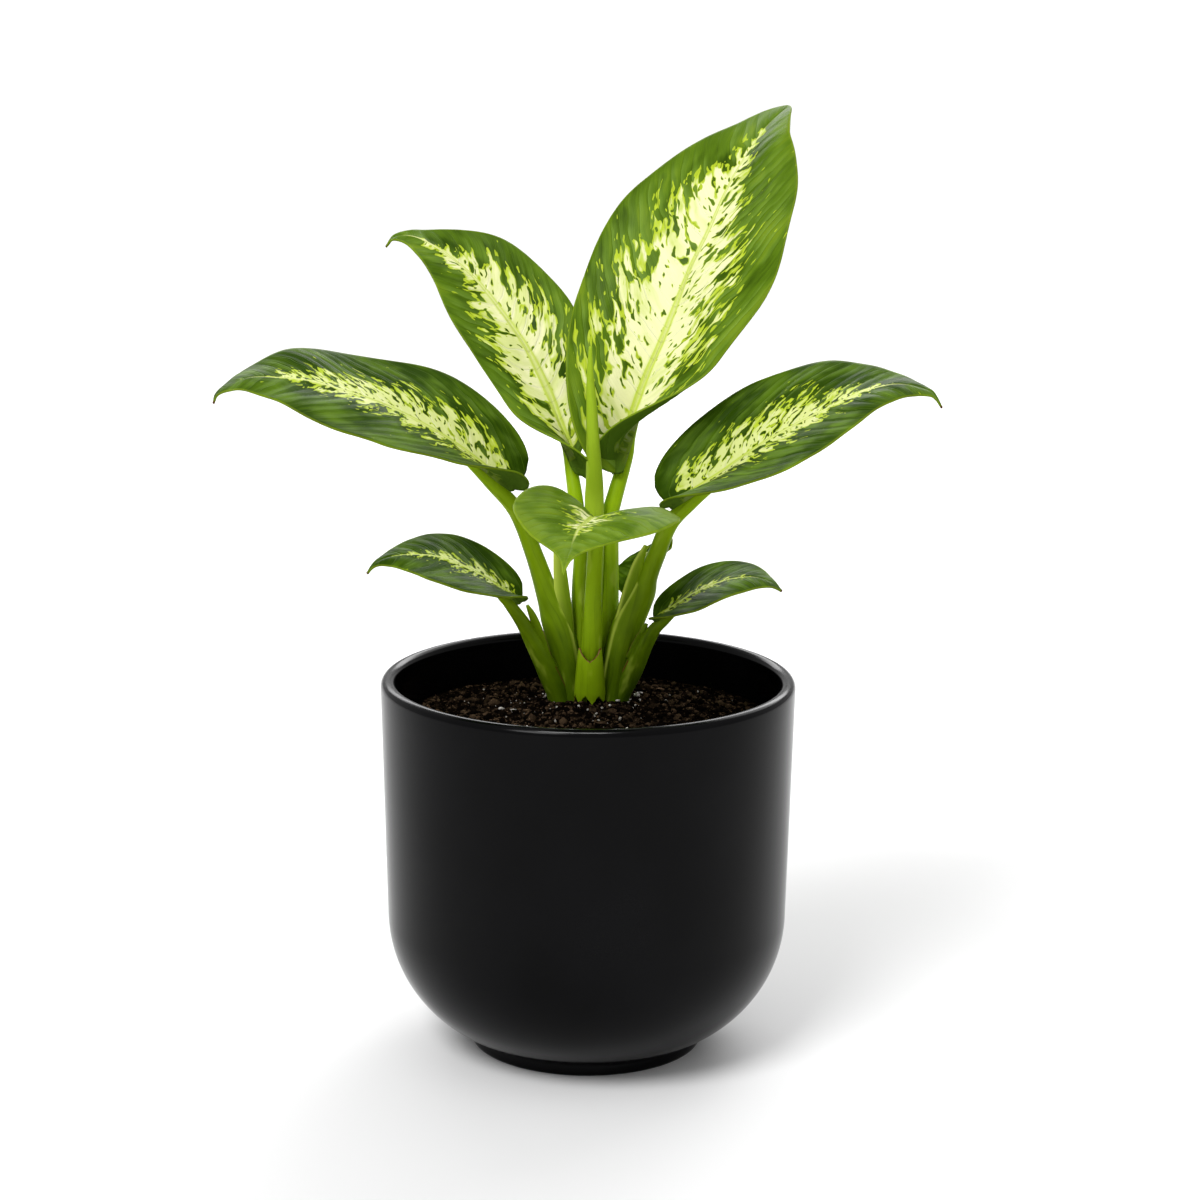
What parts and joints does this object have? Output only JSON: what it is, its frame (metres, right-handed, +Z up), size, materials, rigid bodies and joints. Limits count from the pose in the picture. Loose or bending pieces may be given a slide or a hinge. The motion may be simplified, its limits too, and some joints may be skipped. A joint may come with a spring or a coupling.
{
  "type": "potted dieffenbachia",
  "caption": "Young variegated foliage plant with broad pointed cream-hearted leaves, growing in a round black glazed pot with a footed base.",
  "frame": {"origin": "centre of the flat underside of the pot's foot", "axes": "+Z up, +X to the right as seen in the picture, -Y to the front, the way the drooping front leaf points"},
  "size_m": [0.2205, 0.1545, 0.2935],
  "materials": {
    "black_glaze": "satin",
    "potting_mix": "matte",
    "stump": "matte",
    "leaf": "satin",
    "stalk": "satin"
  },
  "bodies": {
    "root": {"pot": "black_glaze", "soil": "potting_mix", "stem_crown": "stump", "leaf_top": "leaf", "leaf_upper_left": "leaf", "leaf_left": "leaf", "leaf_right": "leaf", "leaf_front": "leaf", "leaf_lower_left": "leaf", "leaf_lower_right": "leaf", "leaf_back": "leaf", "furled_leaf": "stalk", "stalk_top": "stalk", "stalk_upper_left": "stalk", "stalk_front": "stalk", "stalk_left": "stalk", "stalk_right": "stalk", "stalk_back": "stalk", "stalk_lower_left": "stalk", "stalk_lower_right": "stalk", "old_sheath": "stalk"}
  },
  "joints": []
}
